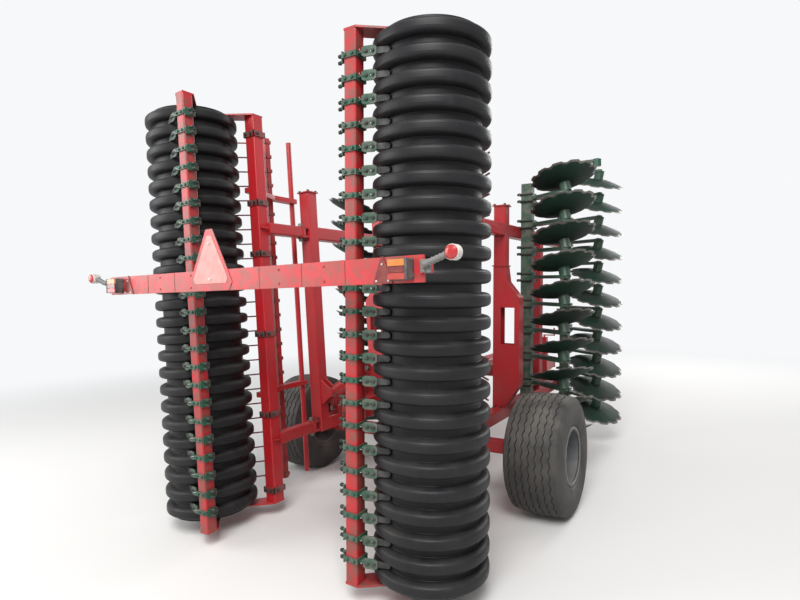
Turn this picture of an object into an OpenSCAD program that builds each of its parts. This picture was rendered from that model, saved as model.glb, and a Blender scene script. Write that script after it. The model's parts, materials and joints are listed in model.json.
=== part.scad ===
// Trailed compact disc harrow with two folding wings, standing folded as it parks.
// Millimetres. X is across the machine, Y points to the tractor, Z is up.
// Wing pieces are drawn as they work, with X outboard, and then folded up about the wing hinge.

/* [Wing fold] */
// Angle of the folded wing from its working place
fold_deg = 88; // [80:0.5:90]
// Distance of the fold hinge from the machine's middle
hinge_x = 605; // [600:1:610]
// Height of the fold hinge above the floor
hinge_z = 705; // [701:1:709]
// Inner end of the wing's tools, from the machine's middle
wing_in = 30; // [26:1:40]

/* [Packer roller] */
// Spacing of the roller rings and of the scrapers
ring_pitch = 125; // [120:1:130]
// Number of rings on each roller
ring_count = 24; // [22:1:24]
// Radius over the ring crests
roller_r = 330; // [322:1:334]
// Depth of the grooves between the rings
groove_depth = 52; // [44:1:56]
// Width of a ring crest
crest_w = 34; // [28:1:40]
// Width of a groove's floor
groove_floor = 44; // [42:1:47]
// Radius of the steel drum under the rubber rings
drum_r = 210; // [195:1:220]
// Wall of the steel drum
drum_wall = 8; // [6:1:12]
// Radius of the roller's stub shafts
shaft_r = 30; // [25:1:34]

/* [Roller frame] */
// Size of the square roller beam
roller_beam = 100; // [90:1:110]
// Roller beam ahead of the roller's axis
roller_beam_y = 325; // [320:1:340]
// Height of the roller beam in work
roller_beam_z = 658; // [650:1:670]
// Thickness of the roller's end plates
end_plate_t = 12; // [10:1:14]
// Size of the square scraper beam
scraper_beam = 80; // [70:1:84]
// Scraper beam behind the roller's axis
scraper_beam_y = 288; // [284:1:296]
// Height of the scraper beam in work
scraper_beam_z = 651; // [647:1:660]
// Width of a scraper plate
scraper_w = 56; // [48:1:58]

/* [Wing frame] */
// Size of the square frame tubes
frame_tube = 110; // [100:1:112]
// Wall of the beams and frame tubes
tube_wall = 8; // [6:0.5:12]
// Height of the frame tubes' middle in work
frame_z = 690; // [680:1:692]
// Inner long tube from the machine's middle
arm_in_x = 500; // [490:1:501]
// Outer long tube from the machine's middle
arm_out_x = 2160; // [2100:1:2250]
// Rear cross tube ahead of the roller's axis
cross_rear_y = 870; // [865:1:875]
// Middle cross tube ahead of the roller's axis
cross_mid_y = 1935; // [1930:1:1940]
// Front cross tube ahead of the roller's axis
cross_front_y = 2930; // [2900:1:2960]
// Outer end of the rear cross tube
cross_rear_end = 2510; // [2400:1:2600]

/* [Tine row] */
// Tine bar ahead of the roller's axis
tine_bar_y = 660; // [650:1:680]
// Height of the tine bar in work
tine_bar_z = 430; // [420:1:440]
// Size of the square tine bar
tine_bar = 50; // [40:1:55]
// Radius of the tines' spring wire
wire_r = 6; // [5:0.5:7]
// Outer radius of a tine's coil
coil_r = 32; // [28:1:36]
// Length of a tine's leg
tine_leg = 330; // [300:1:345]
// Guard tube ahead of the roller's axis
guard_y = 880; // [876:1:884]

/* [Discs] */
// Number of discs in a wing's front row; its rear row has one less
disc_count = 11; // [10:1:11]
// Spacing of the discs in a row
disc_pitch = 250; // [240:1:252]
// Radius of a disc
disc_r = 285; // [270:1:290]
// Thickness of a disc
disc_t = 6; // [5:0.5:8]
// Depth of a disc's dish
disc_dish = 60; // [50:1:64]
// Number of scallops round a disc
scallops = 12; // [10:1:13]
// Radius of a scallop
scallop_r = 36; // [32:1:40]
// Angle of the discs to the line of travel
disc_toe = 12; // [10:0.5:14]
// Upward tilt of the discs' axes
disc_tilt = 14; // [12:0.5:16]
// Height of the disc hubs in work
disc_z = 205; // [200:1:215]
// Size of the square disc beams
disc_beam = 100; // [90:1:104]
// Rear disc beam ahead of the roller's axis
disc_rear_y = 2330; // [2325:1:2345]
// Front disc beam ahead of the roller's axis
disc_front_y = 3660; // [3640:1:3680]
// Disc hubs behind their beam
disc_trail = 170; // [165:1:180]

/* [Chassis] */
// Width of the main beam
main_w = 200; // [180:1:220]
// Height of the main beam
main_h = 150; // [140:1:160]
// Underside of the main beam above the floor
main_z = 785; // [780:1:795]
// Rear end of the main beam ahead of the roller's axis
main_rear = 560; // [555:1:570]
// Front end of the main beam ahead of the roller's axis
main_front = 4000; // [3950:1:4050]
// Hitch eye ahead of the roller's axis
hitch_y = 5560; // [5500:1:5600]
// Height of the hitch eye
hitch_z = 560; // [520:1:600]
// Radius of the hitch eye's bore
hitch_r = 25; // [20:0.5:30]
// Thickness of the hitch eye
hitch_t = 60; // [45:1:70]

/* [Wheels] */
// Wheels ahead of the roller's axis
wheel_y = 1400; // [1396:1:1410]
// Middle of a wheel's tread from the machine's middle
wheel_x = 1210; // [1200:1:1220]
// Outer radius of a tyre
tyre_r = 455; // [448:1:458]
// Width of a tyre
tyre_w = 425; // [410:1:435]
// Radius of the wheel rim
rim_r = 205; // [198:1:210]

/* [Jack] */
// Jack ahead of the roller's axis
jack_y = 4760; // [4700:1:4900]
// Size of the jack's square leg
jack_leg = 60; // [50:1:64]
// How far the jack's leg lifts
jack_lift = 380; // [300:10:385]

/* [Light bar] */
// Half of the light bar's length
bar_half = 1287; // [1270:1:1295]
// Height of the light bar's boards
bar_h = 125; // [115:1:140]
// Height of the light bar's middle
bar_z = 1826; // [1815:1:1840]
// Light bar behind the roller's axis
bar_y = 545; // [540:1:560]

/* [Hidden] */
$fn = 48;

// Colours as the photograph shows them
red = [0.62, 0.10, 0.08];
green = [0.20, 0.42, 0.27];
dark_steel = [0.16, 0.18, 0.17];
bright_steel = [0.55, 0.54, 0.52];
rubber_black = [0.16, 0.16, 0.17];
lamp_red = [0.7, 0.15, 0.1];

// Plates, pins and corners that several pieces share
ear_t = 16;
pin_r = 20;
pin_head_r = 28;
pin_head_t = 8;
pin_fit = 0.05;
tube_corner = 10;
small_corner = 6;
cap_t = 10;

// Roller and its frame, in work
wing_len = ring_count * ring_pitch;
wing_out = wing_in + wing_len;
roller_z = roller_r;
plate_gap = 10;
plate_in = wing_in - plate_gap - end_plate_t;
plate_out = wing_out + plate_gap;
bearing_r = 75;
groove_r = roller_r - groove_depth;
arm_tube = 90;

// Scrapers: their tips hang in the grooves a little above the roller's axis
scraper_lean = 16;
scraper_gap = 3;
scraper_low = 21;
scraper_t = 8;
tip_w = 34;
tip_len = 104;
tip_y = -(groove_r + scraper_gap) * cos(scraper_low);
tip_z = roller_z + (groove_r + scraper_gap) * sin(scraper_low);

// Wing frame and its knuckles to the roller frame
frame_bottom = frame_z - frame_tube / 2;
frame_top = frame_z + frame_tube / 2;
knuckle_y = cross_rear_y - frame_tube / 2 - 62;
knuckle_r = 44;
knuckle_w = 60;
mid_box_end = 1840;
mid_box_low = 500;
mid_tube_end = 2370;

// Tine row
guard_r = 22;
tine_arm_xs = [850, 2470];
tine_arm_w = 40;
coil_turns = 4;
coil_w = coil_turns * 2 * wire_r;

// Disc rows: 0 is the rear row, whose dishes open outboard, and 1 the front row
disc_beam_z = frame_bottom - disc_beam / 2;
disc_flat_r = 90;
scallop_out = 10;
tine_lean = 132;
hub_len = 85;
hub_r = 48;
first_disc = 225;
front_first = wing_in + first_disc;
rear_first = front_first + disc_pitch / 2;
hub_end = disc_dish + disc_t + hub_len;
hub_reach = hub_end * cos(disc_tilt) * cos(disc_toe);
hub_back = hub_end * cos(disc_tilt) * sin(disc_toe);
hub_drop = hub_end * sin(disc_tilt);
disc_arm_t = 30;
clamp_half = 45;
clamp_t = 8;
beam_over = 90;
rear_beam_end = rear_first + (disc_count - 2) * disc_pitch - hub_reach + clamp_half + beam_over;
front_beam_end = front_first + (disc_count - 1) * disc_pitch + hub_reach + clamp_half;

// Fold hinge: its two places along the machine and the widths of its lugs
hinge_ys = [1080, 2690];
hinge_lug_r = 42;
hinge_lug_w = 60;
hinge_gap = 1;
carrier_tube = 120;
carrier_end = 575;

// Fold cylinder, in the plane of the rear cross tube
anchor_x = 55;
anchor_z = 1120;
lug_x = 780;
lug_z = 840;
lug_gap = 50;
barrel_r = 48;
rod_r = 25;
fold_eye_r = 40;
fold_slack = 0.05;
barrel_start = 62;
barrel_bottom = 30;
lug_folded_x = hinge_x + (lug_x - hinge_x) * cos(fold_deg) - (lug_z - hinge_z) * sin(fold_deg);
lug_folded_z = hinge_z + (lug_x - hinge_x) * sin(fold_deg) + (lug_z - hinge_z) * cos(fold_deg);
fold_dx = lug_folded_x - anchor_x;
fold_dz = lug_folded_z - anchor_z;
fold_len = sqrt(fold_dx * fold_dx + fold_dz * fold_dz);
fold_tilt = atan2(fold_dz, fold_dx);
barrel_end = fold_len - fold_eye_r - 6;

// Axle, drawbar and jack
main_mid = main_z + main_h / 2;
main_top = main_z + main_h;
axle_tube = 100;
stub_r = 35;
axle_half = wheel_x - 170;
leg_x = 330;
drawbar_rear = main_front - 200;
drawbar_w = 140;
drawbar_t = 10;
jack_x = 150;
jack_slack = 0.3;
jack_wall = 8;
jack_low = 410;
jack_hold = 200;
jack_spare = 40;
foot_t = 12;
foot_w = 200;

// Light bar
bar_board_t = 12;
rail = 40;
rail_y = -bar_y + bar_board_t + rail / 2;
mast = 80;
mast_y = main_rear + mast / 2 + 20;
lamp_w = 108;
lamp_h = 100;
lamp_t = 55;
lamp_x = bar_half - 105;
reflector_x = bar_half - 222;
reflector_w = 110;
reflector_h = 128;
marker_r = 33;
marker_out = 165;
marker_up = 60;

// The whole machine is centred between its hitch eye's front and its lamps' rear
eye_rim = 32;
front_end = hitch_y + hitch_r + eye_rim;
rear_end = -bar_y - lamp_t;
mid_y = (front_end + rear_end) / 2;

// Moves the machine so that the frame's origin is under its middle
module placed() {
    translate([0, -mid_y, 0]) children();
}

// Mirrors what is drawn for the right side to the side that is named
module on_side(side) {
    if (side == "left") placed() mirror([1, 0, 0]) children();
    else placed() children();
}

// Folds a wing piece up from its working place
module folded(side) {
    on_side(side)
        translate([hinge_x, 0, hinge_z])
            rotate([0, -fold_deg, 0])
                translate([-hinge_x, 0, -hinge_z])
                    children();
}

// Outline of a tube with rounded corners, about its middle
module tube_outline(w, h, r) {
    steps = 3;
    polygon([for (q = [0 : 3], i = [0 : steps]) [
        (q == 0 || q == 3 ? 1 : -1) * (w / 2 - r) + r * cos(90 * q + 90 * i / steps),
        (q < 2 ? 1 : -1) * (h / 2 - r) + r * sin(90 * q + 90 * i / steps)
    ]]);
}

// Closed tube along X, by its middle in Y and Z
module tube_x(x0, x1, y, z, w, h, wall = tube_wall, r = tube_corner) {
    difference() {
        translate([x0, y, z]) rotate([90, 0, 90]) linear_extrude(x1 - x0) tube_outline(w, h, r);
        translate([x0 + wall, y - w / 2 + wall, z - h / 2 + wall])
            cube([x1 - x0 - 2 * wall, w - 2 * wall, h - 2 * wall]);
    }
}

// Closed tube along Y, by its middle in X and Z
module tube_y(x, y0, y1, z, w, h, wall = tube_wall, r = tube_corner) {
    difference() {
        translate([x, y1, z]) rotate([90, 0, 0]) linear_extrude(y1 - y0) tube_outline(w, h, r);
        translate([x - w / 2 + wall, y0 + wall, z - h / 2 + wall])
            cube([w - 2 * wall, y1 - y0 - 2 * wall, h - 2 * wall]);
    }
}

// Closed upright tube, by its middle in X and Y
module tube_z(x, y, z0, z1, w, h, wall = tube_wall, r = tube_corner) {
    difference() {
        translate([x, y, z0]) linear_extrude(z1 - z0) tube_outline(w, h, r);
        translate([x - w / 2 + wall, y - h / 2 + wall, z0 + wall])
            cube([w - 2 * wall, h - 2 * wall, z1 - z0 - 2 * wall]);
    }
}

// Cylinder along X from x0 to x1
module round_x(x0, x1, y, z, r) {
    translate([x0, y, z]) rotate([0, 90, 0]) cylinder(h = x1 - x0, r = r);
}

// Cylinder along Y from y0 to y1
module round_y(x, y0, y1, z, r) {
    translate([x, y1, z]) rotate([90, 0, 0]) cylinder(h = y1 - y0, r = r);
}

// Plate across X, drawn in Y and Z, from x0 for its thickness
module plate_x(x0, t) {
    translate([x0, 0, 0]) rotate([90, 0, 90]) linear_extrude(t) children();
}

// Plate across Y, drawn in X and Z, from y0 for its thickness
module plate_y(y0, t) {
    translate([0, y0 + t, 0]) rotate([90, 0, 0]) linear_extrude(t) children();
}

// Main beam with its end plates
module chassis_beam() {
    lip = 10;
    color(red) placed() {
        tube_y(0, main_rear, main_front, main_mid, main_w, main_h);
        for (y = [main_rear - cap_t, main_front])
            translate([-main_w / 2 - lip, y, main_z]) cube([main_w + 2 * lip, cap_t, main_h + lip]);
    }
}

// Cross beams over the main beam's sides, with the ears that hold the wing hinges
module hinge_carriers() {
    ear = hinge_lug_w / 2 + hinge_gap;
    low = main_mid - carrier_tube / 2;
    high = main_mid + carrier_tube / 2;
    color(red) placed() for (y = hinge_ys, side = [-1, 1]) mirror([side < 0 ? 1 : 0, 0, 0]) {
        tube_x(main_w / 2, carrier_end, y, main_mid, carrier_tube, carrier_tube);
        for (y0 = [y - ear - ear_t, y + ear]) plate_y(y0, ear_t) {
            translate([hinge_x, hinge_z]) circle(hinge_lug_r);
            polygon([
                [carrier_end - 80, low], [carrier_end - 80, high], [carrier_end, high],
                [hinge_x + hinge_lug_r, hinge_z + 15], [hinge_x + hinge_lug_r, hinge_z],
                [hinge_x - hinge_lug_r, hinge_z], [hinge_x - hinge_lug_r, low - 10]
            ]);
        }
        round_y(hinge_x, y - ear - ear_t - pin_head_t, y + ear + ear_t + pin_head_t, hinge_z, pin_r);
        for (y0 = [y - ear - ear_t - pin_head_t, y + ear + ear_t])
            round_y(hinge_x, y0, y0 + pin_head_t, hinge_z, pin_head_r);
    }
}

// Fork on the main beam that holds both fold cylinders
module cylinder_anchor() {
    half = lug_gap / 2;
    color(red) placed() {
        for (y0 = [cross_rear_y - half - ear_t, cross_rear_y + half]) plate_y(y0, ear_t) {
            polygon([
                [-main_w / 2, main_top], [main_w / 2, main_top],
                [anchor_x + fold_eye_r / 2, anchor_z], [-anchor_x - fold_eye_r / 2, anchor_z]
            ]);
            for (x = [-anchor_x, anchor_x]) translate([x, anchor_z]) circle(fold_eye_r);
        }
        for (x = [-anchor_x, anchor_x])
            round_y(x, cross_rear_y - half - ear_t - pin_head_t, cross_rear_y + half + ear_t + pin_head_t,
                anchor_z, pin_r);
    }
}

// Axle beam with its legs to the main beam, and the stub axles
module axle_beam() {
    color(red) placed() for (side = [-1, 1]) {
        tube_x(-axle_half, axle_half, wheel_y, tyre_r, axle_tube, axle_tube);
        plate_y(wheel_y - axle_tube / 2, axle_tube) polygon([
            [side * leg_x, tyre_r], [side * (leg_x - 120), tyre_r],
            [side * 20, main_z], [side * main_w / 2, main_z], [side * main_w / 2, main_top - 40],
            [side * leg_x, main_z - 90]
        ]);
        round_x(side > 0 ? axle_half : -wheel_x - 60, side > 0 ? wheel_x + 60 : -axle_half,
            wheel_y, tyre_r, stub_r);
        translate([side * axle_half - (side > 0 ? cap_t : 0), wheel_y - axle_tube / 2 - cap_t,
            tyre_r - axle_tube / 2 - cap_t])
            cube([cap_t, axle_tube + 2 * cap_t, axle_tube + 2 * cap_t]);
    }
}

// Side of the drawbar, drawn smaller by the inset for the hollow
module drawbar_side(inset) {
    polygon([
        [drawbar_rear + inset, main_z - inset], [main_front + cap_t, main_z - inset],
        [hitch_y - 260, hitch_z + 75 - inset], [hitch_y - 90 - inset, hitch_z + 45 - inset],
        [hitch_y - 90 - inset, hitch_z - 45 + inset], [hitch_y - 300, hitch_z - 70 + inset],
        [drawbar_rear + 60 + inset, main_z - 130 + inset]
    ]);
}

// Drawbar, a box from under the main beam's front down to the hitch
module drawbar() {
    color(red) placed() difference() {
        plate_x(-drawbar_w / 2, drawbar_w) drawbar_side(0);
        plate_x(-drawbar_w / 2 + drawbar_t, drawbar_w - 2 * drawbar_t) drawbar_side(drawbar_t);
    }
}

// Hitch eye on the drawbar's flange
module hitch_eye() {
    neck = 80;
    flange_t = 20;
    color(bright_steel) placed() difference() {
        union() {
            translate([0, hitch_y, hitch_z - hitch_t / 2]) cylinder(h = hitch_t, r = hitch_r + eye_rim);
            translate([-neck / 2, hitch_y - neck, hitch_z - 25]) cube([neck, neck - eye_rim, 50]);
            translate([-neck, hitch_y - 90, hitch_z - 60]) cube([2 * neck, flange_t, 120]);
        }
        translate([0, hitch_y, hitch_z - hitch_t]) cylinder(h = 2 * hitch_t, r = hitch_r);
    }
}

// Jack's outer tube beside the drawbar, with its crank
module jack_tube() {
    outer = jack_leg + 2 * jack_wall;
    inner = jack_leg + 2 * jack_slack;
    top = jack_low + jack_hold + jack_lift + jack_spare;
    crank = 150;
    color(red) placed() {
        difference() {
            union() {
                translate([jack_x - outer / 2, jack_y - outer / 2, jack_low])
                    cube([outer, outer, top - jack_low]);
                translate([drawbar_w / 2, jack_y - 60, 570]) cube([jack_x - drawbar_w / 2, 120, 100]);
            }
            translate([jack_x - inner / 2, jack_y - inner / 2, jack_low - cap_t])
                cube([inner, inner, top - jack_low]);
        }
        translate([jack_x, jack_y, top - 5]) cylinder(h = 40, r = 12);
        round_x(jack_x - 12, jack_x + crank, jack_y, top + 28, 8);
        translate([jack_x + crank - 8, jack_y, top + 20]) cylinder(h = 110, r = 11);
    }
}

// Jack's sliding leg and its foot
module jack_leg_foot() {
    color(bright_steel) placed() {
        translate([jack_x - jack_leg / 2, jack_y - jack_leg / 2, foot_t])
            cube([jack_leg, jack_leg, jack_low + jack_hold - foot_t]);
        translate([jack_x - foot_w / 2, jack_y - foot_w / 2, 0]) cube([foot_w, foot_w, foot_t]);
    }
}

// Post on the main beam, the arm that reaches back from it, and the rail that the lights are on
module light_mast() {
    arm_h = 80;
    gusset = 180;
    face = mast_y - mast / 2 + 2;
    under = bar_z - arm_h / 2 + 2;
    color(red) placed() {
        tube_z(0, mast_y, main_top, bar_z + arm_h / 2, mast, mast, 6);
        tube_y(0, rail_y + 1, face, bar_z, 70, arm_h, 6);
        plate_x(-6, 12) polygon([
            [face, under], [face - gusset, under], [face, under - gusset]
        ]);
        tube_x(-bar_half - 20, bar_half + 20, rail_y, bar_z, rail, rail, 4, small_corner);
    }
}

// Row of warning boards
module light_boards() {
    color(red) placed()
        translate([-bar_half, -bar_y, bar_z - bar_h / 2]) cube([2 * bar_half, bar_board_t, bar_h]);
}

// Tail lamp housings with rounded corners
module tail_lamps() {
    color(lamp_red) placed() for (side = [-1, 1])
        translate([side * lamp_x, -bar_y, bar_z]) rotate([90, 0, 0])
            linear_extrude(lamp_t) tube_outline(lamp_w, lamp_h, tube_corner);
}

// Triangular reflectors
module side_reflectors() {
    half = reflector_w / 2;
    color([0.5, 0.06, 0.06]) placed() for (side = [-1, 1])
        translate([side * reflector_x, -bar_y, bar_z - bar_h / 2]) rotate([90, 0, 0])
            linear_extrude(8) polygon([
                [-half, 6], [6 - half, 0], [half - 6, 0], [half, 6], [5, reflector_h], [-5, reflector_h]
            ]);
}

// Marker lamps on rubber arms, on brackets at the bar's ends
module marker_lamps() {
    arm_tilt = 72;
    arm_len = 140;
    color([0.3, 0.3, 0.3]) placed() for (side = [-1, 1]) mirror([side < 0 ? 1 : 0, 0, 0]) {
        translate([bar_half - 12, -bar_y - 14, bar_z - 20]) cube([52, 14, 60]);
        translate([bar_half + 15, -bar_y - 26, bar_z + 16]) rotate([0, arm_tilt, 0])
            cylinder(h = arm_len, r = 14);
        translate([bar_half + marker_out, -bar_y - 50, bar_z + marker_up]) rotate([-90, 0, 0])
            cylinder(h = 40, r = marker_r);
    }
}

// Plate for slow vehicles: a triangle with its corners cut off
module slow_vehicle_plate() {
    foot = 195;
    plate_x0 = -190;
    plate_up = 118;
    color([0.8, 0.2, 0.15]) placed()
        translate([plate_x0, -bar_y, bar_z + plate_up]) rotate([90, 0, 0])
            linear_extrude(3) polygon([
                [-foot, -130], [-foot + 30, -180], [foot - 30, -180], [foot, -130], [30, 190], [-30, 190]
            ]);
}

// Tyre with a crowned tread and bulging sides
module tyre(side) {
    half = tyre_w / 2;
    tall = tyre_r - rim_r;
    // Half of the section from its crown to the rim: share of the half width, share of the height
    section = [
        [0, 1], [0.4, 0.988], [0.78, 0.94], [0.88, 0.88], [0.95, 0.76],
        [0.995, 0.56], [1, 0.34], [0.93, 0.12], [0.84, 0]
    ];
    last = len(section) - 1;
    color(rubber_black) on_side(side)
        translate([wheel_x, wheel_y, tyre_r]) rotate([0, 90, 0])
            rotate_extrude($fn = 96) polygon([for (i = [0 : 2 * last]) let (p = section[abs(last - i)])
                [rim_r + tall * p[1], (i < last ? -half : half) * p[0]]]);
}

// Wheel rim with its disc and hub
module rim(side) {
    wall = 10;
    lip = 30;
    disc_at = tyre_w / 2 + 50;
    bore = stub_r + pin_fit;
    inner = rim_r - wall;
    color([0.3, 0.3, 0.3]) on_side(side)
        translate([wheel_x - tyre_w / 2, wheel_y, tyre_r]) rotate([0, 90, 0])
            rotate_extrude($fn = 96) polygon([
                [bore, disc_at - 60], [90, disc_at - 60], [95, disc_at],
                [inner - 40, disc_at - 8], [inner, disc_at], [inner, lip], [rim_r, lip],
                [rim_r, tyre_w - lip], [inner, tyre_w - lip], [inner, disc_at + 10],
                [inner - 40, disc_at + 2], [95, disc_at + 10], [85, disc_at + 60], [bore, disc_at + 60]
            ]);
}

// Side of the box round the middle cross tube, drawn smaller by the inset for the hollow
module mid_box_side(inset) {
    from = arm_in_x + frame_tube / 2 - 5;
    polygon([
        [from + inset, frame_top - inset], [mid_box_end - inset, frame_top - inset],
        [mid_box_end - inset, frame_bottom + inset], [mid_box_end - 150, frame_bottom - 20 + inset],
        [mid_box_end - 290, mid_box_low + inset], [from + 210, mid_box_low + inset],
        [from + inset, frame_bottom + inset]
    ]);
}

// Wing frame: two long tubes, cross tubes, hinge lugs and the fold cylinder's lug
module wing_frame(side) {
    ear = knuckle_w / 2;
    in_face = arm_in_x + frame_tube / 2 - 5;
    color(red) folded(side) {
        for (x = [arm_in_x, arm_out_x])
            tube_y(x, cross_rear_y, disc_front_y + 70, frame_z, frame_tube, frame_tube);
        tube_x(arm_in_x - frame_tube / 2, cross_rear_end, cross_rear_y, frame_z, frame_tube, frame_tube);
        tube_x(arm_in_x, arm_out_x, cross_front_y, frame_z, frame_tube, frame_tube);
        tube_x(mid_box_end, mid_tube_end, cross_mid_y, frame_z, frame_tube, frame_tube);
        for (p = [
            [cross_rear_end, cross_rear_y], [mid_tube_end, cross_mid_y], [mid_box_end - cap_t, cross_mid_y]
        ])
            translate([p[0], p[1] - frame_tube / 2 - cap_t, frame_bottom - cap_t])
                cube([cap_t, frame_tube + 2 * cap_t, frame_tube + 2 * cap_t]);
        difference() {
            plate_y(cross_mid_y - frame_tube / 2, frame_tube) mid_box_side(0);
            plate_y(cross_mid_y - frame_tube / 2 + cap_t, frame_tube - 2 * cap_t) mid_box_side(cap_t);
            translate([1130, cross_mid_y - frame_tube, mid_box_low + 45]) cube([330, 2 * frame_tube, 130]);
        }
        for (y = hinge_ys) plate_y(y - hinge_lug_w / 2, hinge_lug_w) difference() {
            union() {
                translate([hinge_x, hinge_z]) circle(hinge_lug_r);
                polygon([
                    [in_face, frame_bottom + 15], [hinge_x + 18, hinge_z - 38],
                    [hinge_x, hinge_z + hinge_lug_r], [in_face, frame_top]
                ]);
            }
            translate([hinge_x, hinge_z]) circle(pin_r + pin_fit);
        }
        for (y0 = [cross_rear_y - lug_gap / 2 - ear_t, cross_rear_y + lug_gap / 2]) plate_y(y0, ear_t) {
            polygon([
                [lug_x - 110, frame_top], [lug_x + 110, frame_top],
                [lug_x + fold_eye_r, lug_z], [lug_x - fold_eye_r, lug_z]
            ]);
            translate([lug_x, lug_z]) circle(fold_eye_r);
        }
        for (x = [arm_in_x, arm_out_x], s = [-1, 1])
            plate_x(s > 0 ? x + ear : x - ear - ear_t, ear_t) difference() {
                union() {
                    translate([knuckle_y, frame_z]) circle(knuckle_r);
                    translate([knuckle_y, frame_z - knuckle_r])
                        square([cross_rear_y - frame_tube / 2 - knuckle_y, 2 * knuckle_r]);
                }
                translate([knuckle_y, frame_z]) circle(pin_r + pin_fit);
            }
    }
}

// Roller beam, its arms to the wing frame and the end plates with their bearings
module roller_frame(side) {
    half = roller_beam / 2;
    ear = knuckle_w / 2;
    back = roller_beam_y - half + 10;
    arm_top = frame_z + arm_tube / 2;
    reach = scraper_beam_y + 40;
    color(red) folded(side) {
        tube_x(plate_in, plate_out + end_plate_t, roller_beam_y, roller_beam_z, roller_beam, roller_beam);
        for (x = [arm_in_x, arm_out_x]) {
            tube_y(x, roller_beam_y + half - 10, knuckle_y - 45, frame_z, arm_tube, arm_tube);
            translate([x - ear, knuckle_y - 60, frame_z - 40]) cube([knuckle_w, 60, 80]);
            round_x(x - ear, x + ear, knuckle_y, frame_z, knuckle_r);
            round_x(x - ear - ear_t - pin_head_t, x + ear + ear_t + pin_head_t, knuckle_y, frame_z, pin_r);
            for (x0 = [x - ear - ear_t - pin_head_t, x + ear + ear_t])
                round_x(x0, x0 + pin_head_t, knuckle_y, frame_z, pin_head_r);
            plate_x(x - 6, 12) polygon([
                [back + 85, arm_top - 2], [back, roller_beam_z + half - 2],
                [back, roller_beam_z + half + 25], [back + 210, arm_top - 2]
            ]);
        }
        for (x = [plate_in, plate_out]) plate_x(x, end_plate_t) difference() {
            union() {
                translate([0, roller_z]) circle(bearing_r);
                polygon([
                    [roller_beam_y + half, roller_beam_z + half], [roller_beam_y + half, roller_beam_z - half],
                    [60, roller_z - 45], [-60, roller_z - 45],
                    [-reach, scraper_beam_z - 40], [-reach, scraper_beam_z + 40],
                    [90 - reach, scraper_beam_z + 40], [-20, roller_z + 110],
                    [60, roller_z + 110], [roller_beam_y - half, roller_beam_z + half]
                ]);
            }
            translate([0, roller_z]) circle(shaft_r + pin_fit);
        }
    }
}

// Beam behind the roller that carries the scrapers
module scraper_beam_bar(side) {
    color(red) folded(side)
        tube_x(plate_in + end_plate_t, plate_out, -scraper_beam_y, scraper_beam_z, scraper_beam, scraper_beam);
}

// Stands what is drawn along Z on the groove's floor, leaning as the scrapers do
module scraper_place(k) {
    translate([wing_in + k * ring_pitch, tip_y, tip_z]) rotate([scraper_lean, 0, 0]) children();
}

// One scraper for each groove: a clamp round the beam, an arm and a slotted plate
module scrapers(side) {
    band_t = 8;
    band_w = 30;
    half = scraper_beam / 2;
    out = half + band_t;
    arm_z = tip_z + 125;
    arm_y = tip_y - tan(scraper_lean) * (arm_z - tip_z) - 1.5 * scraper_t;
    edge = scraper_w / 2;
    color(green) folded(side) for (k = [1 : ring_count - 1]) {
        translate([wing_in + k * ring_pitch, 0, 0]) {
            difference() {
                translate([-band_w / 2, -scraper_beam_y - out, scraper_beam_z - out])
                    cube([band_w, 2 * out, 2 * out]);
                translate([-band_w, -scraper_beam_y - half, scraper_beam_z - half])
                    cube([2 * band_w, scraper_beam, scraper_beam]);
            }
            translate([-edge, -scraper_beam_y - half, scraper_beam_z + out]) cube([scraper_w, 60, 8]);
            for (s = [-1, 1])
                translate([s * 18, -scraper_beam_y - 10, scraper_beam_z + out + 8]) cylinder(h = 30, r = 7);
            plate_x(-5, 10) polygon([
                [-scraper_beam_y - 30, scraper_beam_z - out], [-scraper_beam_y + 20, scraper_beam_z - out],
                [arm_y + 11, arm_z], [arm_y - 11, arm_z]
            ]);
        }
        scraper_place(k) translate([0, -scraper_t, 0]) rotate([90, 0, 0]) linear_extrude(scraper_t)
            difference() {
                polygon([
                    [-edge + 10, tip_len - 32], [edge - 10, tip_len - 32], [edge, tip_len - 16],
                    [edge, tip_len + 36], [edge - 8, tip_len + 52], [-edge + 8, tip_len + 52],
                    [-edge, tip_len + 36], [-edge, tip_len - 16]
                ]);
                translate([-4, tip_len - 20]) square([8, 26]);
            }
    }
}

// Wearing tips of the scrapers, round-ended, in the grooves
module scraper_tips(side) {
    color(dark_steel) folded(side) for (k = [1 : ring_count - 1])
        scraper_place(k) rotate([90, 0, 0]) linear_extrude(scraper_t) {
            translate([0, tip_w / 2]) circle(tip_w / 2);
            translate([-tip_w / 2, tip_w / 2]) square([tip_w, tip_len - tip_w / 2]);
        }
}

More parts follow.
